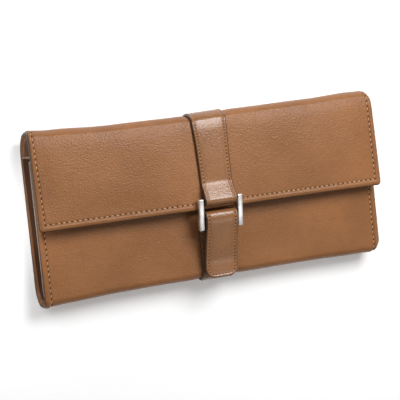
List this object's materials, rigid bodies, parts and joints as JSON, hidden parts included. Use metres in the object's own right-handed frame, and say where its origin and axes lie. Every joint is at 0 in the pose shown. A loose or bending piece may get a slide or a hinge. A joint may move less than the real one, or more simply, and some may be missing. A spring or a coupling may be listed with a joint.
{
  "type": "leather jewelry case",
  "caption": "Long flat leather jewelry case: a gusseted pouch under a flap, with a centre strap, a square metal link and a tab that holds it shut.",
  "frame": {"origin": "middle of the footprint, at the outer face of the back that the case lies on", "axes": "+X along the width, +Y towards the top fold, +Z out of the front"},
  "size_m": [0.24, 0.1158, 0.0354],
  "materials": {
    "shell_leather": "smooth tan leather, fine grain, satin",
    "strap_leather": "smooth tan leather, satin",
    "lining_suede": "brown suede lining",
    "roll_velvet": "brown velvet",
    "stiff_board": "fibre board",
    "pocket_cloth": "woven cloth",
    "link_steel": "satin silver metal",
    "magnet_steel": "plated steel",
    "zip_brass": "brushed brass",
    "stitch_thread": "waxed thread"
  },
  "bodies": {
    "back": {"back_panel": "shell_leather", "back_board": "stiff_board", "back_lining": "lining_suede", "pocket_bag": "pocket_cloth", "bottom_strap": "strap_leather", "gusset_left": "lining_suede", "gusset_right": "lining_suede", "zip_tape_lower": "pocket_cloth", "zip_tape_upper": "pocket_cloth", "zip_teeth": "zip_brass", "zip_stop_left": "zip_brass", "zip_stop_right": "zip_brass", "ring_roll": "roll_velvet", "ring_roll_anchor": "strap_leather", "ring_roll_tab": "strap_leather", "ring_snap_cap": "magnet_steel", "ring_snap_stud": "magnet_steel"},
    "spine": {"spine_panel": "shell_leather", "spine_lining": "lining_suede", "spine_strap": "strap_leather"},
    "flap": {"flap_panel": "shell_leather", "flap_board": "stiff_board", "flap_lining": "lining_suede", "flap_strap": "strap_leather"},
    "link": {"link_frame": "link_steel"},
    "tab": {"tab_strap": "strap_leather", "tab_lining": "lining_suede", "tab_magnet": "magnet_steel"},
    "front": {"front_panel": "shell_leather", "front_board": "stiff_board", "front_lining": "lining_suede", "slip_pocket": "lining_suede", "base_strap": "strap_leather", "base_magnet": "magnet_steel"},
    "slider": {"zip_slider": "zip_brass"},
    "puller": {"zip_puller": "zip_brass"}
  },
  "joints": [
    {"name": "spine_fold", "type": "hinge", "parent": "back", "child": "spine", "pos_m": [0, 0.03994, 0.0012], "axis": [-1, 0, 0], "range_deg": [0, 58]},
    {"name": "flap_fold", "type": "hinge", "parent": "spine", "child": "flap", "pos_m": [0, 0.05498, 0.0248], "axis": [-1, 0, 0], "range_deg": [0, 119.3]},
    {"name": "front_tilt", "type": "hinge", "parent": "back", "child": "front", "pos_m": [0, -0.05398, 0.01658], "axis": [1, 0, 0], "range_deg": [0, 14], "deforming": ["gusset_left", "gusset_right"]},
    {"name": "link_swing", "type": "hinge", "parent": "flap", "child": "link", "pos_m": [0, -0.00208, 0.0322], "axis": [-1, 0, 0], "range_deg": [0, 80]},
    {"name": "tab_lift", "type": "hinge", "parent": "link", "child": "tab", "pos_m": [0, -0.01229, 0.03021], "axis": [-1, 0, 0], "range_deg": [0, 110]},
    {"name": "zip_slide", "type": "slide", "parent": "back", "child": "slider", "axis": [1, 0, 0], "range_m": [0, 0.16]},
    {"name": "puller_swing", "type": "hinge", "parent": "slider", "child": "puller", "pos_m": [-0.08, 0.025, 0.0077], "axis": [0, -1, 0], "range_deg": [0, 30]}
  ],
  "couplings": [
    {"joint": "spine_fold", "follows": "flap_fold", "ratio": 0.486},
    {"joint": "front_tilt", "follows": "flap_fold", "ratio": 0.117}
  ]
}
